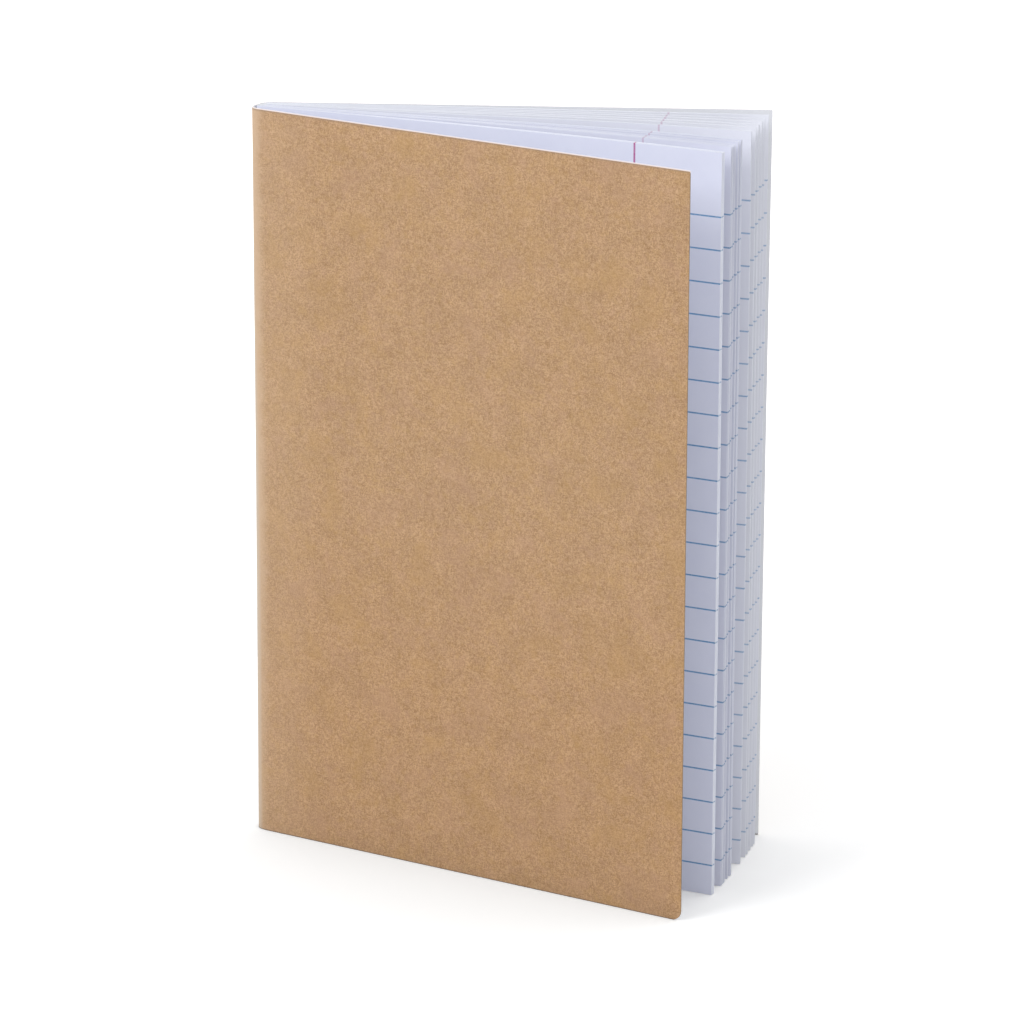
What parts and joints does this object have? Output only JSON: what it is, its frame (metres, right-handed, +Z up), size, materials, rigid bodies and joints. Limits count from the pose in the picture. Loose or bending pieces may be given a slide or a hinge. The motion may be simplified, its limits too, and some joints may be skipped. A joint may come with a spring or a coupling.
{
  "type": "stapled exercise book",
  "caption": "Saddle-stitched exercise book with a kraft card cover and ruled leaves, standing on its lower edges and fanned open.",
  "frame": {"origin": "foot of the spine, on the middle plane between the two covers, at the height of the lower edges that the book stands on", "axes": "+X from the spine to the fore edge along the middle plane, +Y from the front cover's side to the back cover's side, +Z up along the spine"},
  "size_m": [0.1361, 0.0744, 0.205],
  "materials": {
    "cover_card": "uncoated kraft card outside, pale grey-white inside",
    "leaf_paper": "uncoated writing paper with blue rules and a red margin line",
    "staple_wire": "galvanised wire"
  },
  "bodies": {
    "text_block": {"pages": "leaf_paper", "cover_spine": "cover_card", "staples": "staple_wire"},
    "front_cover": {"front_cover": "cover_card"},
    "back_cover": {"back_cover": "cover_card"}
  },
  "joints": [
    {"name": "front_hinge", "type": "hinge", "parent": "text_block", "child": "front_cover", "pos_m": [0, -0.00358, 0], "axis": [0, 0, -1], "range_deg": [-14.3, 165.7], "deforming": ["pages"]},
    {"name": "back_hinge", "type": "hinge", "parent": "text_block", "child": "back_cover", "pos_m": [0, 0.00358, 0], "axis": [0, 0, 1], "range_deg": [-14.3, 165.7], "deforming": ["pages"]}
  ]
}
